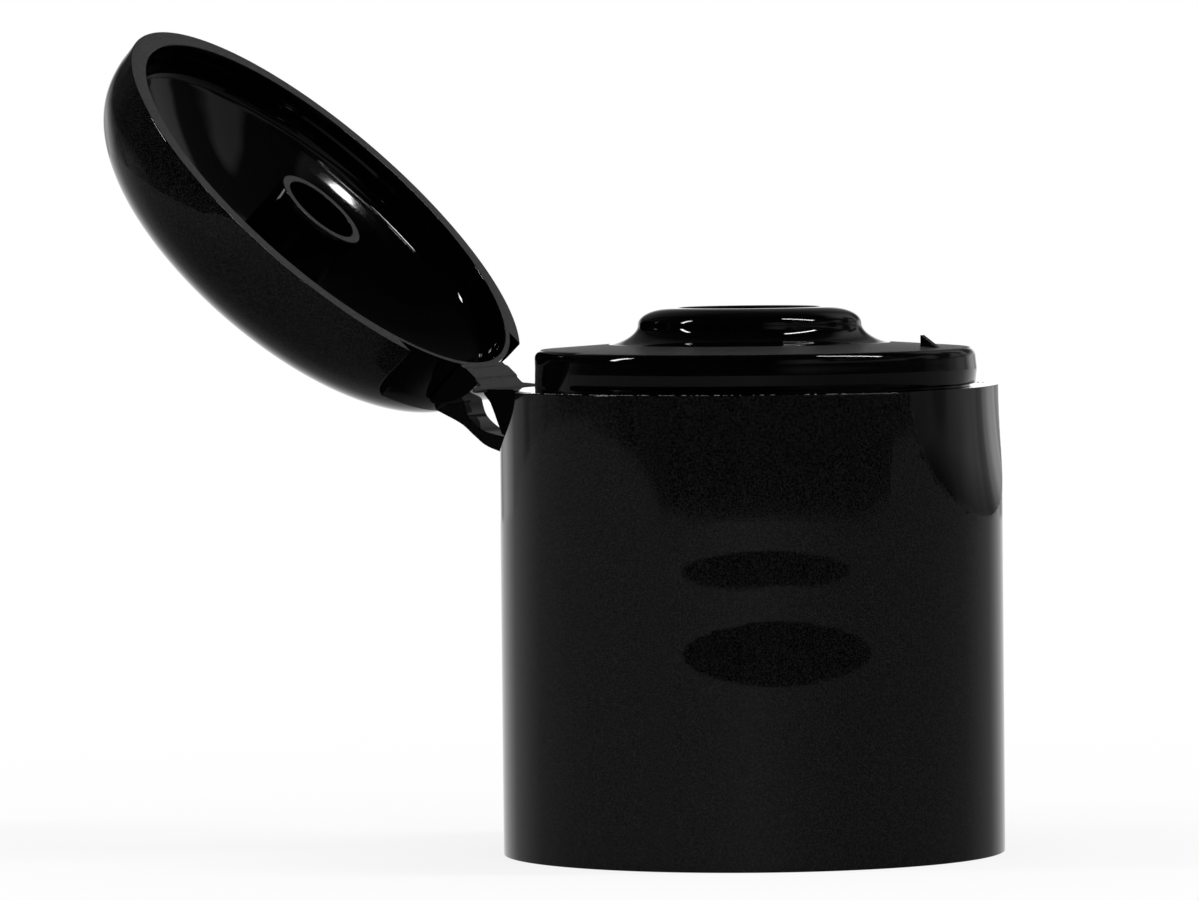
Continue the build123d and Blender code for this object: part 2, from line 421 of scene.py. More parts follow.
# The rims, the hinge's faces and the deck's top: matt, with a coarse grain.
eroded_black = polypropylene(
    "spark eroded black polypropylene", "#040404", "#484848",
    roughness=0.35, grain_mm=0.08, grain_depth_mm=0.006, wave_depth_mm=0.001,
)
FINISHES = (satin_black, gloss_black, eroded_black)
SATIN, GLOSS, ERODED = range(3)


def all_over(finish):
    """A rule that gives every face of a piece the same finish."""
    return lambda centre, normal: finish


def dressed(piece, finish_at):
    """Gives each face the finish that finish_at tells for its centre and normal."""
    piece.data.materials.clear()
    for finish in FINISHES:
        piece.data.materials.append(finish)
    for face in piece.data.polygons:
        face.material_index = finish_at(face.center, face.normal)
    return piece


# %% [markdown]
# ## The body
# Skirt, deck, spout and the sleeve that seals the bottle's mouth are one
# turned outline. The deck rises above the rim inside the lid's wall, with a
# narrow groove at its foot, and swells into the spout.

# %% Body outline
deck_bend = from_axis(DECK_R - 0.06 * MM, RIM_Z + 1.5 * MM)
deck_edge = from_axis(DECK_R - 0.5 * MM, DECK_Z)
spout_start = from_axis(7.6 * MM, DECK_Z + 0.26 * MM)
waist = from_axis(5.83 * MM, RIM_Z + 3.35 * MM)
crest = from_axis(3.97 * MM, SPOUT_Z)
mouth = from_axis(ORIFICE_R + 0.58 * MM, SPOUT_Z - 0.45 * MM)
plate_z = DECK_Z - 1.0 * MM
sleeve_end = 17.2 * MM
sleeve_in, sleeve_out = UPPER_BORE_R - 2.9 * MM, UPPER_BORE_R - 2.0 * MM
inner_deck_r = DECK_R - 1.45 * MM

outside = softened([
    from_axis(SKIRT_R - 0.45 * MM, 0),
    from_axis(SKIRT_R, 0),
    from_axis(SKIRT_R, RIM_Z),
    from_axis(DECK_R - 0.36 * MM, RIM_Z),
    from_axis(DECK_R - 0.36 * MM, RIM_Z + 0.15 * MM),
    from_axis(DECK_R - 0.09 * MM, RIM_Z + 0.15 * MM),
    from_axis(DECK_R, RIM_Z + 0.95 * MM),
    deck_bend,
], 0.05 * MM)
top = joined(
    drawn_to(deck_bend, from_axis(deck_bend.x, DECK_Z), deck_edge, steps=10),
    drawn_to(
        spout_start, from_axis(waist.x, DECK_Z + 0.34 * MM), waist, fullness=(0.48, 0.54), steps=20
    ),
    drawn_to(waist, from_axis(waist.x, SPOUT_Z), crest),
    drawn_to(crest, from_axis(mouth.x, SPOUT_Z), mouth),
)
inside = softened([
    mouth,
    from_axis(ORIFICE_R, DECK_Z - 0.5 * MM),
    from_axis(ORIFICE_R, plate_z),
    from_axis(sleeve_in, plate_z),
    from_axis(sleeve_in, sleeve_end + 0.4 * MM),
    from_axis(sleeve_in + 0.3 * MM, sleeve_end),
    from_axis(sleeve_out, sleeve_end),
    from_axis(sleeve_out, plate_z),
    from_axis(inner_deck_r, plate_z),
    from_axis(inner_deck_r, RIM_Z - 0.3 * MM),
    from_axis(UPPER_BORE_R, RIM_Z - 1.5 * MM),
    from_axis(UPPER_BORE_R, 18.5 * MM),
    from_axis(ROOT_R, 17.6 * MM),
    from_axis(ROOT_R, 1.6 * MM),
    from_axis(SKIRT_R - 0.7 * MM, 1.35 * MM),
    from_axis(SKIRT_R - 0.7 * MM, 0.25 * MM),
    from_axis(SKIRT_R - 0.45 * MM, 0),
], 0.07 * MM)
body_outline = divided(joined(outside, top), 0.4 * MM, closed=False)
body_outline = divided(joined(body_outline, inside)[:-1], 3 * MM, closed=True)
body = turned("cap_shell", body_outline, satin_black)
print("body outline", len(body_outline), "points")

# %% [markdown]
# ## The thumb scoop
# A shallow hollow at the front lets a thumb get under the lid. Its floor is a
# piece of a much flatter turned shape, so the cutter is turned about an
# upright axis far behind the wall, and cut away.

# %% Cut the thumb scoop
SCOOP_DEPTH = 0.83 * MM
SCOOP_DROP = 6.6 * MM
SCOOP_PLAN_R = 24 * MM
SCOOP_STEPS = 28

scoop_round = (SCOOP_DROP ** 2 + SCOOP_DEPTH ** 2) / (2 * SCOOP_DEPTH)
scoop_outline = [
    from_axis(SCOOP_PLAN_R + 2 * MM, SCOOP_DROP),
    from_axis(SCOOP_PLAN_R + 2 * MM, -2 * MM),
    from_axis(SCOOP_PLAN_R, -2 * MM),
]
for step in range(SCOOP_STEPS + 1):
    drop = SCOOP_DROP * step / SCOOP_STEPS
    out = scoop_round - math.sqrt(scoop_round ** 2 - drop ** 2)
    scoop_outline.append(from_axis(SCOOP_PLAN_R + out, drop))
scoop_outline = [from_axis(p.x, RIM_Z - p.y) for p in scoop_outline]
scoop = turned("scoop_cutter", scoop_outline, gloss_black, segments=720)
scoop.data.transform(Matrix.Translation((SKIRT_R - SCOOP_DEPTH - SCOOP_PLAN_R, 0, 0)))
keep_front = block_of("front_keeper", [
    from_axis(11 * MM, 10 * MM), from_axis(20 * MM, 10 * MM),
    from_axis(20 * MM, RIM_Z + 5 * MM), from_axis(11 * MM, RIM_Z + 5 * MM),
], 10 * MM)
scoop = combined(scoop, keep_front, "INTERSECT")
core = turned("deck_core", [
    from_axis(5 * MM, RIM_Z), from_axis(SKIRT_R - SCOOP_DEPTH, RIM_Z),
    from_axis(SKIRT_R - SCOOP_DEPTH, RIM_Z + 6 * MM), from_axis(5 * MM, RIM_Z + 6 * MM),
], gloss_black, segments=180)
scoop = combined(scoop, core, "DIFFERENCE")
body = combined(body, scoop, "DIFFERENCE")

# %% [markdown]
# ## The hinge side of the body
# Here the deck's wall stands back, where it clears the lid's thin wall, and
# the skirt has an oval window down to a round floor. The block in its middle
# carries the film.

# %% Cut the hinge window and the relief
RELIEF_DEPTH = 0.6 * MM
relief_r = DECK_R - RELIEF_DEPTH
relief = turned("relief_cutter", joined(
    [from_axis(relief_r, RIM_Z), from_axis(SKIRT_R + 1 * MM, RIM_Z)],
    [from_axis(SKIRT_R + 1 * MM, RIM_Z + 4 * MM), from_axis(relief_r - 0.5 * MM, RIM_Z + 4 * MM)],
    drawn_to(
        from_axis(relief_r - 0.5 * MM, DECK_Z + 0.06 * MM), from_axis(relief_r, DECK_Z + 0.03 * MM),
        from_axis(relief_r, DECK_Z - 0.4 * MM), steps=8,
    ),
), gloss_black)
RELIEF_HALF_ANGLE = math.radians(60)
wedge_x = -2 * SKIRT_R
wedge_y = 2 * SKIRT_R * math.tan(RELIEF_HALF_ANGLE)
wedge_low, wedge_high = RIM_Z - 1 * MM, RIM_Z + 5 * MM
wedge = mesh_object(
    "relief_wedge",
    [(0, 0, wedge_low), (wedge_x, wedge_y, wedge_low), (wedge_x, -wedge_y, wedge_low),
     (0, 0, wedge_high), (wedge_x, wedge_y, wedge_high), (wedge_x, -wedge_y, wedge_high)],
    faces=[(0, 1, 2), (3, 4, 5), (0, 1, 4, 3), (1, 2, 5, 4), (2, 0, 3, 5)],
)
relief = combined(relief, tidied(wedge), "INTERSECT")
body = combined(body, relief, "DIFFERENCE")

WINDOW_HALF = 9.1 * MM
WINDOW_DROP = 4.2 * MM
WINDOW_STEPS = 96
oval = []
for step in range(WINDOW_STEPS):
    turn = 2 * math.pi * step / WINDOW_STEPS
    oval.append(Vector((WINDOW_HALF * math.cos(turn), RIM_Z + WINDOW_DROP * math.sin(turn))))
window = bored("window_cutter", oval, -SKIRT_R - 2 * MM, -6 * MM)
window_core = turned("window_core", divided([
    from_axis(2 * MM, RIM_Z - 8 * MM), from_axis(WINDOW_FLOOR_R, RIM_Z - 8 * MM),
    from_axis(WINDOW_FLOOR_R, RIM_Z + 8 * MM), from_axis(2 * MM, RIM_Z + 8 * MM),
], 1 * MM, closed=True), gloss_black)
window = combined(window, window_core, "DIFFERENCE")
body = combined(body, window, "DIFFERENCE")


def body_finish(centre, normal):
    """Satin on the skirt's outside, eroded on the flat tops, and gloss elsewhere."""
    out = math.hypot(centre.x, centre.y)
    if out > SKIRT_R - 0.03 * MM and centre.z < RIM_Z - 0.01 * MM:
        return SATIN
    on_deck = out > 7.3 * MM and centre.z > DECK_Z - 0.05 * MM
    return ERODED if normal.z > 0.95 and on_deck else GLOSS


def wall_or_scoop(centre, normal):
    """Tells the skirt's plain wall from the scoop, whose edge is crisp but shallow."""
    if centre.x < 8 * MM or not RIM_Z - SCOOP_DROP < centre.z < RIM_Z - 0.06 * MM:
        return "rest"
    return "wall" if math.hypot(centre.x, centre.y) > SKIRT_R - 0.012 * MM else "scoop"


# %% [markdown]
# Where the wall is thick, at the thread and above it, it shrinks a little more
# as it cools. The two dents are only about one and four hundredths of a
# millimetre deep, and yet they bend the reflection of the table's far edge,
# which is how they are noticed. Each is an oval that falls in over a short way
# at its top and comes out slowly to its foot.

# %% Sink marks on the skirt
SINK_MARKS = (
    # azimuth and half width in degrees, then height and half height in mm, then slope
    (-64.9, 20, 15.3, 1.25, 0.0050),
    (-62.2, 22.5, 11.1, 1.95, 0.0112),
)
SINK_TOP = 1.0
WALL_NEAR = 0.001 * MM


def sunk(piece):
    """Draws the outer wall in at each sink mark: steep at its top, slow below."""
    for vertex in piece.data.vertices:
        spot = vertex.co
        out = math.hypot(spot.x, spot.y)
        if out < SKIRT_R - WALL_NEAR:
            continue
        turn = math.degrees(math.atan2(spot.y, spot.x))
        dent = 0
        for azimuth, half_width, height, half_height, slope in SINK_MARKS:
            aside = (turn - azimuth) / half_width
            if abs(aside) >= 1:
                continue
            half = half_height * math.sqrt(1 - aside * aside)
            up = spot.z / MM - (height - half)
            past = up - 2 * half
            if 0 < up <= 2 * half:
                dent += up * slope
            elif 0 < past < SINK_TOP:
                dent += 2 * half * slope * (0.5 + 0.5 * math.cos(math.pi * past / SINK_TOP))
        spot.xy *= 1 - dent * MM / out
    return piece


dressed(body, body_finish)
sunk(body)
shaded(body, parts=wall_or_scoop)
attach(body, "cap")
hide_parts("cap_body")

# %% [markdown]
# The block in the window is a small bracket: flat on top, where the film
# starts, and hollowed towards its foot.

# %% The block that carries the film
def behind(out, drop):
    """A point on the hinge side, so far out from the skirt and down from its rim."""
    return from_axis(-SKIRT_R - out * MM, RIM_Z - drop * MM)


block_outline = softened([
    from_axis(-UPPER_BORE_R - 0.5 * MM, RIM_Z - 0.05 * MM),
    behind(0.85, 0.05), behind(0.85, 0.3), behind(0.5, 0.72), behind(0.3, 1.2),
    behind(0.08, 1.8), behind(-0.15, 2.4),
    from_axis(-UPPER_BORE_R - 0.5 * MM, RIM_Z - 2.9 * MM),
], 0.04 * MM)
block = block_of("hinge_block", block_outline, BLOCK_HALF, steps=8)
dressed(block, all_over(GLOSS))
shaded(block)
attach(block, "cap")

# %% [markdown]
# A little sharp stub stands on the deck, where the plastic was torn off as it
# left the mould.

# %% The gate stub on the deck
stub_x = DECK_R - 2.23 * MM
stub = block_of("gate_stub", softened([
    from_axis(stub_x + 0.4 * MM, DECK_Z - 0.3 * MM),
    from_axis(stub_x, DECK_Z - 0.3 * MM),
    from_axis(stub_x, DECK_Z + 0.72 * MM),
    from_axis(stub_x + 1.05 * MM, DECK_Z - 0.05 * MM),
    from_axis(stub_x + 1.05 * MM, DECK_Z - 0.3 * MM),
    from_axis(stub_x + 0.4 * MM, DECK_Z - 0.3 * MM),
], 0.04 * MM)[:-1], 0.25 * MM)
dressed(stub, all_over(GLOSS))
shaded(stub)
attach(stub, "cap")

# %% [markdown]
# A moulding comes with a little flash: slivers thinner than a hair where the
# mould's halves met, along the rim. They are coloured pale grey: partly the
# whitening of bent thin plastic, and partly a painted glint along the rim's edge.
# They are scattered along the rim's edge with a fixed seed, clear of the
# scoop and the hinge's window.

# %% A node tree for the flash
FLASH_SHARE = 0.4
FLASH_LEAST = (0.012 * MM, 0.012 * MM, 0.02 * MM)
FLASH_MOST = (0.03 * MM, 0.035 * MM, 0.17 * MM)
FLASH_COUNT = 150


def flash_tree():
    """Geometry Nodes: slivers of random size scattered along a path."""
    tree, given = geometry_tree(
        "rim flash", Path="Geometry", Slivers="Int", Seed="Int", Finish="Material"
    )
    path = add_node(tree, "GeometryNodeMeshToCurve", i0=given["Path"])
    spots = add_node(
        tree, "GeometryNodeCurveToPoints", {"mode": "COUNT"},
        Curve=path.outputs[0], Count=given["Slivers"],
    )
    picks = add_node(
        tree, "FunctionNodeRandomValue", {"data_type": "BOOLEAN"},
        Probability=FLASH_SHARE, Seed=given["Seed"],
    )
    sizes = add_node(
        tree, "FunctionNodeRandomValue", {"data_type": "FLOAT_VECTOR"},
        Min=FLASH_LEAST, Max=FLASH_MOST, Seed=given["Seed"],
    )
    sliver = add_node(tree, "GeometryNodeMeshIcoSphere", Radius=1.0, Subdivisions=1)
    placed = add_node(
        tree, "GeometryNodeInstanceOnPoints",
        Points=spots.outputs["Points"], Selection=picks.outputs[3],
        Instance=sliver.outputs["Mesh"], Rotation=spots.outputs["Rotation"], Scale=sizes.outputs[0],
    )
    return given_out(tree, placed.outputs[0], given["Finish"])


# %% The flash along the rim
# Pale grey slivers: partly the whitening of bent plastic, partly a painted glint.
pale_flash_painted_glint = polypropylene(
    "stress whitened flash with painted glint", "#5c5c5a", "#a8a8a4",
    roughness=0.4, grain_mm=0.05, grain_depth_mm=0.001, wave_depth_mm=0.001, wave_mm=1.0,
)
FLASH_R = SKIRT_R - 0.05 * MM
FLASH_FROM, FLASH_TO = 42, 132
rim_path, rim_edges = [], []
for low, high in ((-FLASH_TO, -FLASH_FROM), (FLASH_FROM, FLASH_TO)):
    for degree in range(low, high + 1):
        turn = math.radians(degree)
        if degree > low:
            rim_edges.append((len(rim_path) - 1, len(rim_path)))
        rim_path.append((FLASH_R * math.cos(turn), FLASH_R * math.sin(turn), RIM_Z))
flash = mesh_object("rim_flash", rim_path, rim_edges)
modifier = flash.modifiers.new("flash", "NODES")
modifier.node_group = flash_tree()
set_inputs(modifier, Slivers=FLASH_COUNT, Seed=4, Finish=pale_flash_painted_glint)
tidied(settled(flash), merge=1e-9)
shaded(flash)
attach(flash, "cap")

# %% [markdown]
# ## The neck thread
# Inside the skirt one rib runs round as a helix, a little over one turn. A
# Spiral curve is exactly that path, and Curve to Mesh carries the rib's
# section along it.

# %% A node tree for the thread
THREAD_PITCH = 3.175 * MM
THREAD_TURNS = 1.3
THREAD_START = 2.6 * MM
THREAD_DEPTH = 1.175 * MM


def thread_tree():
    """Geometry Nodes: a rib's section carried along a helix."""
    tree, given = geometry_tree(
        "neck thread", Section="Geometry", Turns="Float", Rise="Float", Radius="Float",
        Start_height="Float", Finish="Material",
    )
    profile = add_node(tree, "GeometryNodeMeshToCurve", i0=given["Section"])
    path = add_node(
        tree, "GeometryNodeCurveSpiral",
        Resolution=128, Rotations=given["Turns"], Start_Radius=given["Radius"],
        End_Radius=given["Radius"], Height=given["Rise"],
    )
    upright = add_node(
        tree, "GeometryNodeSetCurveNormal", {"mode": "Z_UP"}, Curve=path.outputs["Curve"]
    )
    swept = add_node(
        tree, "GeometryNodeCurveToMesh",
        Curve=upright.outputs[0], Profile_Curve=profile.outputs[0], Fill_Caps=True,
    )
    lift = add_node(tree, "ShaderNodeCombineXYZ", Z=given["Start height"])
    placed = add_node(
        tree, "GeometryNodeTransform", Geometry=swept.outputs[0], Translation=lift.outputs[0]
    )
    return given_out(tree, placed.outputs[0], given["Finish"])


# %% The neck thread
THREAD_ROOT_HALF = 0.95 * MM
THREAD_CREST_HALF = 0.3 * MM
THREAD_SUNK = 0.1 * MM
rib_corners = [
    (-THREAD_SUNK, -THREAD_ROOT_HALF, 0), (THREAD_DEPTH, -THREAD_CREST_HALF, 0),
    (THREAD_DEPTH, THREAD_CREST_HALF, 0), (-THREAD_SUNK, THREAD_ROOT_HALF, 0),
]
thread = mesh_object("neck_thread", rib_corners, [(0, 1), (1, 2), (2, 3), (3, 0)])
modifier = thread.modifiers.new("thread", "NODES")
modifier.node_group = thread_tree()
set_inputs(
    modifier, Turns=THREAD_TURNS, Rise=THREAD_PITCH * THREAD_TURNS, Radius=ROOT_R,
    Start_height=THREAD_START, Finish=gloss_black,
)
tidied(settled(thread))
shaded(thread)
spans = [math.hypot(v.co.x, v.co.y) / MM for v in thread.data.vertices]
print("thread from radius", round(min(spans), 2), "to", round(max(spans), 2), "mm")
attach(thread, "cap")

# %% [markdown]
# ## The lid
# The lid is drawn closed, on the cap's axis, because that is how it is turned.
# Its dome is a squarish round that no single arc gives, so the outline uses
# the rule |x|^n + |z|^n = 1 with n a little under 3. Inside, a straight wall
# takes the deck, and a plain cap spans the rest. When it is finished, the whole
# lid swings back about the hinge to where it stands open.

# %% Lid outline
DOME_POWER = 2.77
CAVITY_SIDE = 1.9 * MM
BEAD_HEIGHT = 0.9 * MM
BEAD_HALF = 0.25 * MM
BEAD_DEPTH = 0.05 * MM


def dome(radius, height, base, steps=64):
    """Points of a squarish dome, from its edge to its top."""
    points = []
    for step in range(steps + 1):
        turn = 0.5 * math.pi * step / steps
        out = radius * math.cos(turn) ** (2 / DOME_POWER) if step < steps else 0
        points.append(from_axis(out, base + height * math.sin(turn) ** (2 / DOME_POWER)))
    return points


outer_dome = dome(LID_R, LID_HEIGHT, LID_Z)
RIM_LAST = 3
CAP_RISE = LID_HEIGHT - LID_WALL - CAVITY_SIDE
CAP_STEPS = 32
CAP_EDGE_R = CAVITY_R - 0.8 * MM
cap = []
for step in range(CAP_STEPS + 1):
    out = CAP_EDGE_R * step / CAP_STEPS
    cap.append(from_axis(out, LID_Z + CAVITY_SIDE + CAP_RISE * (1 - (out / CAVITY_R) ** 2)))
side_top = from_axis(CAVITY_R, LID_Z + CAVITY_SIDE + 0.04 * MM)
bend = rounded_corner(cap[-1], side_top, from_axis(CAVITY_R, LID_Z), 0.75 * MM, steps=14)
rim = softened([
    bend[-1],
    from_axis(CAVITY_R, LID_Z + BEAD_HEIGHT + BEAD_HALF),
    from_axis(CAVITY_R - BEAD_DEPTH, LID_Z + BEAD_HEIGHT),
    from_axis(CAVITY_R, LID_Z + BEAD_HEIGHT - BEAD_HALF),
    from_axis(CAVITY_R, LID_Z),
    from_axis(LID_R, LID_Z),
    outer_dome[RIM_LAST],
], 0.06 * MM)
lid_outline = divided(joined(cap, bend, rim, outer_dome[RIM_LAST + 1:]), 0.5 * MM, closed=False)
lid = turned("lid_shell", lid_outline, satin_black, closed=False)

# %% Cut the lid's hinge window
WINDOW_LID_HALF = 7.2 * MM
below = Vector((WINDOW_LID_HALF, LID_Z - 3 * MM))
corner = Vector((WINDOW_LID_HALF, LID_Z + 3.4 * MM))
half = [below] + rounded_corner(below, corner, Vector((0, corner.y)), 2.4 * MM, steps=16)
lid_window = bored(
    "lid_window_cutter", half + [Vector((-p.x, p.y)) for p in reversed(half)], -30 * MM, -9 * MM
)
lid_core = turned("lid_core", divided([
    from_axis(2 * MM, LID_Z - 5 * MM), from_axis(LID_FLOOR_R, LID_Z - 5 * MM),
    from_axis(LID_FLOOR_R, LID_Z + 14 * MM), from_axis(2 * MM, LID_Z + 14 * MM),
], 1 * MM, closed=True), gloss_black)
lid_window = combined(lid_window, lid_core, "DIFFERENCE")
lid = combined(lid, lid_window, "DIFFERENCE")

# %% [markdown]
# The hollow plug stops the spout's orifice when the lid is shut. The land is
# the lid's half of the hinge: a block that meets the film with a flat face.

# %% The plug and the land
PLUG_WALL = 0.48 * MM
plug_root = LID_Z + LID_HEIGHT - LID_WALL + 0.3 * MM
plug_foot = LID_Z + 0.48 * MM
plug_inner_r = PLUG_R - PLUG_WALL
plug = turned("sealing_plug", divided(softened([
    from_axis(plug_inner_r, plug_root - 1 * MM),
    from_axis(plug_inner_r, plug_foot),
    from_axis(PLUG_R, plug_foot),
    from_axis(PLUG_R + 0.12 * MM, plug_root),
    from_axis(plug_inner_r, plug_root),
    from_axis(plug_inner_r, plug_root - 1 * MM),
], 0.05 * MM)[:-1], 0.4 * MM, closed=True), gloss_black, segments=160)


def beside(out, height):
    """A point on the closed lid's hinge side, so far out from the skirt and up from the lid's rim."""
    return from_axis(-SKIRT_R - out * MM, LID_Z + height * MM)


root_out = (CAVITY_R + 0.1 * MM - SKIRT_R) / MM
floor_out = (LID_FLOOR_R - SKIRT_R) / MM
land_outline = joined(
    [beside(root_out, 1.65), beside(root_out, 0)],
    softened([
        beside(root_out, 0), beside(-0.58, -0.01), beside(-0.4, -0.09), beside(0.28, -0.1),
        beside(0.6, 0.12), beside(0.58, 0.4),
    ], 0.06 * MM),
    drawn_to(beside(0.58, 0.4), beside(0.58, 1.9), beside(floor_out, 2.6), steps=10),
    [beside(root_out, 2.6)],
)
land = block_of("hinge_land", land_outline, BLOCK_HALF, steps=8)

# %% Swing the lid open
swing = (
    Matrix.Translation(HINGE)
    @ Matrix.Rotation(-OPEN_TURN, 4, "Y")
    @ Matrix.Translation(-HINGE)
)


def lid_finish(centre, normal):
    """Satin on the dome's outside, eroded on the faces at the rim, and gloss inside."""
    if normal.z < -0.9 and centre.z < LID_Z + 0.6 * MM:
        return ERODED
    out, up = math.hypot(centre.x, centre.y), max(centre.z - LID_Z, 0)
    full = (out / LID_R) ** DOME_POWER + (up / LID_HEIGHT) ** DOME_POWER
    return SATIN if full > 0.97 else GLOSS


def land_finish(centre, normal):
    """Eroded on the faces that meet the body, and gloss elsewhere."""
    return ERODED if normal.z < -0.5 else GLOSS


dressed(lid, lid_finish)
dressed(plug, lid_finish)
dressed(land, land_finish)
for piece in (lid, plug, land):
    piece.data.transform(swing)
    shaded(piece)
    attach(piece, "lid")
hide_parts("lid")

# %% [markdown]
# ## Film and strap
# The film is what really bends: a strip a quarter of a millimetre thick. The
# strap below it is a bent spring that snaps the lid from open to closed. Both
# cross the hinge, and both are fine meshes drawn as they stand with the lid open.

# %% The hinge film
def opened(point):
    """Where a point of the closed lid's section lies once the lid is open."""
    moved = swing @ Vector((point.x, 0, point.y))
    return from_axis(moved.x, moved.z)


def band(name, low_side, high_side, half_widths, across=12, through=2):
    """A band between two lines in the hinge's plane, with a half width for each of their points."""
    count = len(low_side)
    shares = [2 * step / across - 1 for step in range(across + 1)]
    ring = [(share, 0) for share in shares]
    ring += [(1, step / through) for step in range(1, through)]
    ring += [(share, 1) for share in reversed(shares)]
    ring += [(-1, 1 - step / through) for step in range(1, through)]
    size = len(ring)
    vertices, faces = [], []
    for low, high, half in zip(low_side, high_side, half_widths):
        for share, up in ring:
            spot = low.lerp(high, up)
            vertices.append((spot.x, share * half, spot.y))
    for i in range(count - 1):
        for j in range(size):
            k = (j + 1) % size
            faces.append((i * size + j, i * size + k, (i + 1) * size + k, (i + 1) * size + j))
    faces += [tuple(range(size)), tuple(range((count - 1) * size, count * size))]
    return tidied(mesh_object(name, vertices, faces=faces))


def through_marks(marks, count, between=24):
    """A smooth line through the marks, as that many evenly spaced steps."""
    ends = [2 * marks[0] - marks[1]] + marks + [2 * marks[-1] - marks[-2]]
    fine = []
    for a, b, c, d in zip(ends, ends[1:], ends[2:], ends[3:]):
        for step in range(between):
            t = step / between
            fine.append(0.5 * (
                2 * b + (c - a) * t + (2 * a - 5 * b + 4 * c - d) * t ** 2
                + (3 * b - a - 3 * c + d) * t ** 3
            ))
    fine.append(marks[-1])
    runs = [0]
    for here, there in zip(fine, fine[1:]):
        runs.append(runs[-1] + (there - here).length)
    points, i = [], 0
    for step in range(count + 1):
        goal = runs[-1] * step / count
        while i < len(fine) - 2 and runs[i + 1] < goal:
            i += 1
        part = (goal - runs[i]) / max(runs[i + 1] - runs[i], 1e-12)
        points.append(fine[i].lerp(fine[i + 1], min(max(part, 0), 1)))
    return points


# %% [markdown]
# The film is widest at the block's lip, where the mould left a thin wing on
# each side, and narrows to the land's width.

# %% Shape the film
FILM_STEPS = 12
FILM_HALF = 2.7 * MM
FILM_WING_HALF = 4.15 * MM
WING_UNTIL, WING_TAPER = 0.25, 0.2
film_low = through_marks(
    [behind(0.65, 0.2), behind(0.86, 0.16), opened(beside(0.62, 0.2)), opened(beside(0.4, 0.1))],
    FILM_STEPS,
)
film_high = through_marks(
    [behind(0.65, 0.04), behind(0.84, 0.0), opened(beside(0.44, -0.04)), opened(beside(0.25, -0.08))],
    FILM_STEPS,
)
film_halves = []
for step in range(FILM_STEPS + 1):
    share = min(max((step / FILM_STEPS - WING_UNTIL) / WING_TAPER, 0), 1)
    narrowed = share * share * (3 - 2 * share)
    film_halves.append(FILM_WING_HALF + (FILM_HALF - FILM_WING_HALF) * narrowed)
film = band("hinge_film_band", film_low, film_high, film_halves, across=24, through=1)
dressed(film, all_over(ERODED))
shaded(film, 50)
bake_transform(film)
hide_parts("hinge_film")

# %% [markdown]
# The strap leaves the skirt's window as a thin band and swells to a wedge
# under the land. Only the thin part bends.

# %% The spring strap
STRAP_STEPS = 40
STRAP_HALF = 1.2 * MM
STRAP_OUT, STRAP_DROP = -0.75, 3.78
STRAP_SUNK = 0.5
strap_low = behind(STRAP_OUT - STRAP_SUNK, STRAP_DROP)
outer_side = through_marks([
    strap_low, behind(STRAP_OUT, STRAP_DROP), behind(1.21, 3.17), behind(2.06, 2.58),
    behind(2.85, 1.92), opened(beside(floor_out, 3.2)), opened(beside(floor_out - 0.4, 3.2)),
], STRAP_STEPS)
inner_side = through_marks([
    strap_low + Vector((0, 0.9 * MM)), behind(STRAP_OUT, 2.85), behind(0.3, 2.62), behind(1.0, 2.45),
    behind(1.6, 2.26), behind(2.3, 1.7), behind(2.6, 1.1),
    opened(beside(floor_out, 1.2)), opened(beside(floor_out - 0.4, 1.2)),
], STRAP_STEPS)
strap_halves = [STRAP_HALF] * (STRAP_STEPS + 1)
strap = band("spring_strap_band", outer_side, inner_side, strap_halves, through=8)
dressed(strap, all_over(SATIN))
shaded(strap, 50)
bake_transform(strap)
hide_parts("spring_strap")

# %% [markdown]
# ## The room
# The cap stands on a white table with a white sweep behind it. The camera and
# the reflections see that white. In front the room is dimmer, which is why
# the black wall looks black there and turns grey only where it curves away.

# %% Camera
VIEW_AZIMUTH = math.radians(21.860)
CAMERA_DISTANCE = 455.53 * MM
CAMERA_HEIGHT = 38.40 * MM
CAMERA_TILT = math.radians(2.180)
CAMERA_YAW = math.radians(0.992)
CAMERA_ROLL = math.radians(0.576)

camera_data = bpy.data.cameras.new("camera")
camera_data.sensor_width = 36
camera_data.lens = 262.39
camera_data.clip_start = 0.01
camera = bpy.data.objects.new("camera", camera_data)
bpy.context.scene.collection.objects.link(camera)
camera.matrix_world = (
    Matrix.Translation((
        math.sin(VIEW_AZIMUTH) * CAMERA_DISTANCE,
        -math.cos(VIEW_AZIMUTH) * CAMERA_DISTANCE,
        CAMERA_HEIGHT,
    ))
    @ Matrix.Rotation(VIEW_AZIMUTH + CAMERA_YAW, 4, "Z")
    @ Matrix.Rotation(math.radians(90) - CAMERA_TILT, 4, "X")
    @ Matrix.Rotation(-CAMERA_ROLL, 4, "Z")
)
bpy.context.scene.camera = camera

# %% [markdown]
# The room is a world shader with three answers. The camera sees plain white.
# Gloss sees the room: a white sweep behind the cap, a table below the
# horizon, and a dim room in front. Everything else sees an even light.

# %% Directions in the room
world = bpy.data.worlds.new("light room")
bpy.context.scene.world = world
world.use_nodes = True
tree = world.node_tree
tree.nodes.clear()
ray = tree.nodes.new("ShaderNodeLightPath").outputs
direction = tree.nodes.new("ShaderNodeTexCoord").outputs["Generated"]
to_sweep = (-math.sin(VIEW_AZIMUTH), math.cos(VIEW_AZIMUTH), 0)
to_right = (math.cos(VIEW_AZIMUTH), math.sin(VIEW_AZIMUTH), 0)


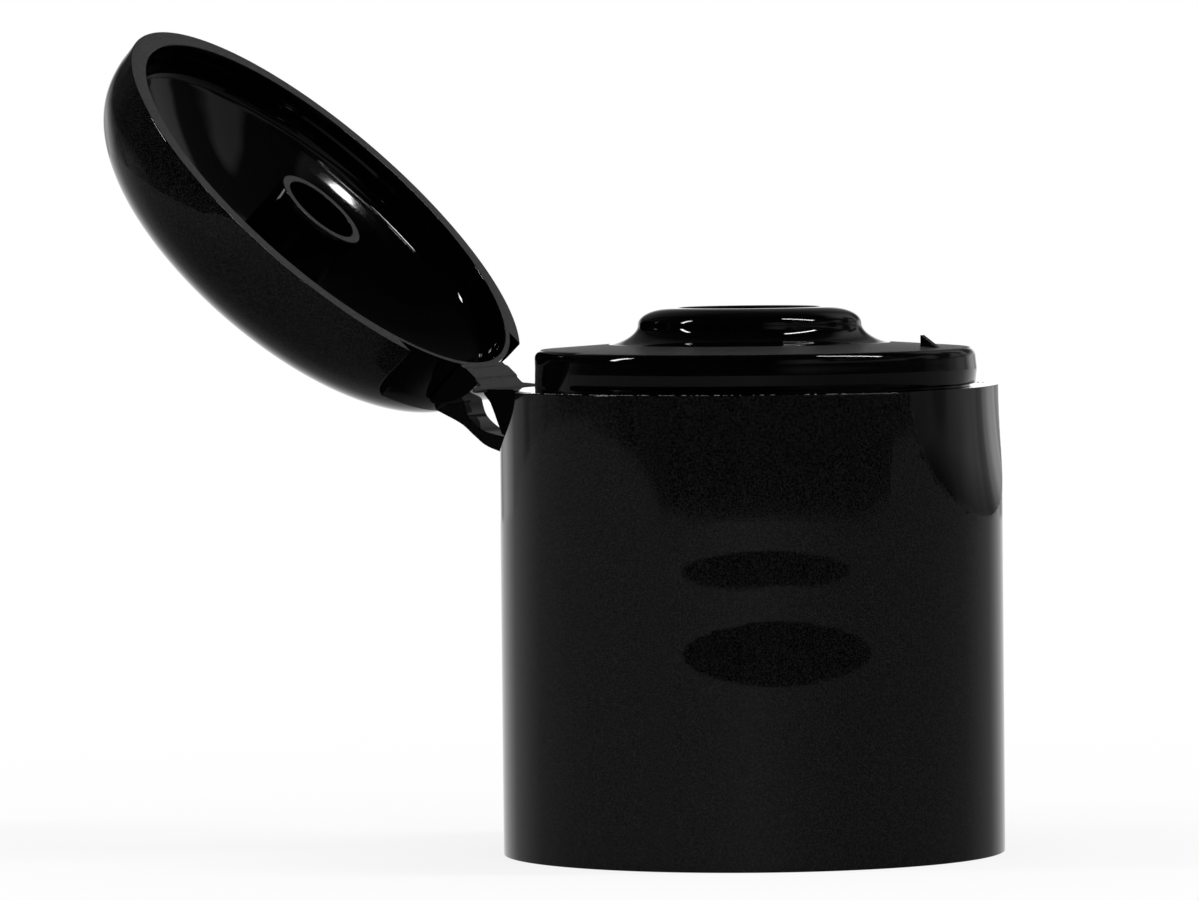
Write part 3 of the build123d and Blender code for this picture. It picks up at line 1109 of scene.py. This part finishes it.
def grey_ramp(tree, value, stops):
    """A ramp of greys through (place, grey) stops."""
    ramp = add_node(tree, "ShaderNodeValToRGB", Fac=value)
    stops = sorted(stops)
    for element, (place, grey) in zip(ramp.color_ramp.elements, (stops[0], stops[-1])):
        element.position, element.color = place, (grey, grey, grey, 1)
    for place, grey in stops[1:-1]:
        ramp.color_ramp.elements.new(place).color = (grey, grey, grey, 1)
    return ramp.outputs["Color"]


def multiplied(tree, first, second):
    """One colour times another."""
    return add_node(
        tree, "ShaderNodeMix", {"data_type": "RGBA", "blend_type": "MULTIPLY"},
        Factor=1.0, i6=first, i7=second,
    ).outputs[2]


def part_of(tree, value, low, high):
    """How far a value has gone from low to high, as 0 to 1."""
    return add_node(
        tree, "ShaderNodeMapRange", Value=value, From_Min=low, From_Max=high
    ).outputs["Result"]


def towards(tree, aim):
    """How far a direction turns to an aim: 0 is away from it, and 1 is at it."""
    along = add_node(
        tree, "ShaderNodeVectorMath", {"operation": "DOT_PRODUCT"}, i0=direction, i1=aim
    )
    return part_of(tree, along.outputs["Value"], -1.0, 1.0)


share = towards(tree, to_sweep)
side = towards(tree, to_right)
height = add_node(tree, "ShaderNodeSeparateXYZ", Vector=direction).outputs["Z"]

# %% [markdown]
# The table is bright behind the cap, where the sweep rises from it, and dim in
# front. Straight below, the cap stands in its own light, so it is darker.

# %% The table that gloss sees
table = grey_ramp(tree, share, [
    (0.0, 0.175), (0.5, 0.175), (0.7, 0.2), (0.88, 0.40), (0.95, 0.8), (1.0, 1.0),
])
down = grey_ramp(tree, part_of(tree, height, -1.0, 0.0), [
    (0.0, 0.5), (0.5, 0.6), (0.75, 0.85), (0.88, 1.0),
])
table = multiplied(tree, table, down)

# %% [markdown]
# The walls are nearly black in front and white at the sweep. They are bright
# only low down, and fade out some ten degrees above the horizon. Slow noise
# makes them uneven, as a furnished room is. On the right a faint glow higher
# up shows inside the lid.

# %% The walls that gloss sees
walls = grey_ramp(tree, share, [
    (0.0, 0.016), (0.25, 0.022), (0.45, 0.05), (0.6, 0.1),
    (0.74, 0.18), (0.88, 0.35), (0.95, 0.75), (1.0, 1.0),
])
clutter = add_node(
    tree, "ShaderNodeTexNoise", Vector=direction, Scale=3.0, Detail=1.0, Roughness=0.4
)
shade = grey_ramp(tree, clutter.outputs["Fac"], [
    (0.40, 0.55), (0.46, 1.0), (0.53, 1.0), (0.6, 1.3),
])
walls = multiplied(tree, walls, shade)
dim = grey_ramp(tree, height, [(0.0, 1.0), (0.06, 1.0), (0.1, 0.7), (0.2, 0.1), (1.0, 0.04)])
walls = multiplied(tree, walls, dim)
glow = multiplied(
    tree, grey_ramp(tree, height, [(0.14, 0.0), (0.22, 0.3), (0.6, 0.3), (0.72, 0.0)]),
    grey_ramp(tree, side, [(0.6, 0.0), (0.72, 1.0), (1.0, 1.0)]),
)
glow = multiplied(tree, glow, grey_ramp(tree, clutter.outputs["Fac"], [(0.42, 0.1), (0.5, 1.0)]))
walls = add_node(
    tree, "ShaderNodeMix", {"data_type": "RGBA", "blend_type": "ADD"},
    Factor=1.0, i6=walls, i7=glow,
).outputs[2]

# %% [markdown]
# The table's far edge is a crisp line in the skirt's reflection. It lies a
# little below the horizon and rises towards both sides. The last ramp makes
# the room dimmer on the right than in the middle.

# %% Where the table ends
EDGE_LOW, EDGE_HIGH = -0.0462, -0.0345
EDGE_BLUR = (-0.0003, 0.0004)
shift = grey_ramp(tree, side, [
    (0.0, 1.0), (0.035, 0.85), (0.06, 0.78), (0.13, 0.42), (0.17, 0.1), (0.28, 0.02),
    (0.5, 0.0), (0.9, 0.03), (0.955, 0.2), (0.965, 0.75), (1.0, 0.9),
])
edge = add_node(tree, "ShaderNodeMapRange", Value=shift, To_Min=EDGE_LOW, To_Max=EDGE_HIGH)
over = add_node(
    tree, "ShaderNodeMath", {"operation": "SUBTRACT"}, i0=height, i1=edge.outputs["Result"]
)
seen_by_gloss = add_node(
    tree, "ShaderNodeMix", {"data_type": "RGBA"},
    Factor=part_of(tree, over.outputs[0], *EDGE_BLUR), i6=table, i7=walls,
).outputs[2]
sides = grey_ramp(tree, side, [
    (0.0, 0.8), (0.3, 0.85), (0.5, 1.05), (0.7, 0.75), (0.85, 0.6), (1.0, 0.62),
])
seen_by_gloss = multiplied(tree, seen_by_gloss, sides)

# %% Join the three answers
seen = add_node(tree, "ShaderNodeBackground", Color=(1, 1, 1, 1), Strength=1.0)
even = add_node(tree, "ShaderNodeBackground", Color=(1, 1, 1, 1), Strength=0.7)
room = add_node(tree, "ShaderNodeBackground", Color=seen_by_gloss, Strength=1.0)
by_gloss = add_node(
    tree, "ShaderNodeMixShader", Fac=ray["Is Glossy Ray"], i1=even.outputs[0], i2=room.outputs[0]
)
clear = add_node(
    tree, "ShaderNodeMath", {"operation": "MAXIMUM"},
    i0=ray["Is Camera Ray"], i1=ray["Is Transmission Ray"],
)
mixed = add_node(
    tree, "ShaderNodeMixShader", Fac=clear.outputs[0], i1=by_gloss.outputs[0], i2=seen.outputs[0]
)
add_node(tree, "ShaderNodeOutputWorld", Surface=mixed.outputs[0])

# %% [markdown]
# ## The table
# A matt white table. The camera sees it glow a little towards white, less so
# near the cap, where its soft shadow stays. Gloss looks through it at the
# room's own table, so that one rule gives the whole reflection.

# %% The white table
FLOOR_HALF = 1.5
floor = mesh_object(
    "table",
    [(-FLOOR_HALF, -FLOOR_HALF, 0), (FLOOR_HALF, -FLOOR_HALF, 0),
     (FLOOR_HALF, FLOOR_HALF, 0), (-FLOOR_HALF, FLOOR_HALF, 0)],
    faces=[(0, 1, 2, 3)],
)
paper = bpy.data.materials.new("matt white paper")
paper.use_nodes = True
tree = paper.node_tree
tree.nodes.clear()
ray = tree.nodes.new("ShaderNodeLightPath").outputs
place = tree.nodes.new("ShaderNodeTexCoord").outputs["Object"]
away = add_node(tree, "ShaderNodeVectorMath", {"operation": "LENGTH"}, i0=place).outputs["Value"]
clean = add_node(
    tree, "ShaderNodeMapRange", {"interpolation_type": "SMOOTHSTEP"},
    Value=away, From_Min=0.02, From_Max=0.12, To_Min=0.8, To_Max=1.0,
)
matt = add_node(tree, "ShaderNodeBsdfDiffuse", Color=from_hex("#f4f4f4"))
white = add_node(tree, "ShaderNodeEmission", Color=(1, 1, 1, 1), Strength=1.0)
lift = add_node(
    tree, "ShaderNodeMath", {"operation": "MULTIPLY"},
    i0=ray["Is Camera Ray"], i1=clean.outputs["Result"],
)
lifted = add_node(
    tree, "ShaderNodeMixShader", Fac=lift.outputs[0], i1=matt.outputs[0], i2=white.outputs[0]
)
clear = tree.nodes.new("ShaderNodeBsdfTransparent")
sheet = add_node(
    tree, "ShaderNodeMixShader", Fac=ray["Is Glossy Ray"], i1=lifted.outputs[0], i2=clear.outputs[0]
)
add_node(tree, "ShaderNodeOutputMaterial", Surface=sheet.outputs[0])
floor.data.materials.append(paper)

# %% [markdown]
# ## Two strip lamps
# One long thin lamp stands on each side, high up. They hardly light the black
# plastic, but each leaves bright dashes on the spout, and the right one the
# long highlight inside the lid.

# %% Strip lamps
LAMP_DISTANCE = 0.6


def strip_lamp(name, azimuth, elevation, width, height, power, roll):
    """An area lamp that faces the cap, placed by its direction from it."""
    data = bpy.data.lights.new(name, "AREA")
    data.shape = "RECTANGLE"
    data.size = width
    data.size_y = height
    data.energy = power
    lamp = bpy.data.objects.new(name, data)
    bpy.context.scene.collection.objects.link(lamp)
    a, e = math.radians(azimuth), math.radians(elevation)
    aim = Vector((math.sin(a) * math.cos(e), -math.cos(a) * math.cos(e), math.sin(e)))
    spot = aim * LAMP_DISTANCE
    turn = spot.to_track_quat("Z", "Y").to_matrix().to_4x4()
    lamp.matrix_world = Matrix.Translation(spot) @ turn @ Matrix.Rotation(math.radians(roll), 4, "Z")
    return lamp


CAMERA_SIDE = math.degrees(VIEW_AZIMUTH)
strip_lamp("left strip", CAMERA_SIDE - 84, 42, width=0.26, height=0.035, power=0.7, roll=108)
strip_lamp("right strip", CAMERA_SIDE + 88.4, 59, width=0.28, height=0.032, power=1.0, roll=90)

# %% Set the view transform
bpy.context.scene.view_settings.view_transform = "Standard"
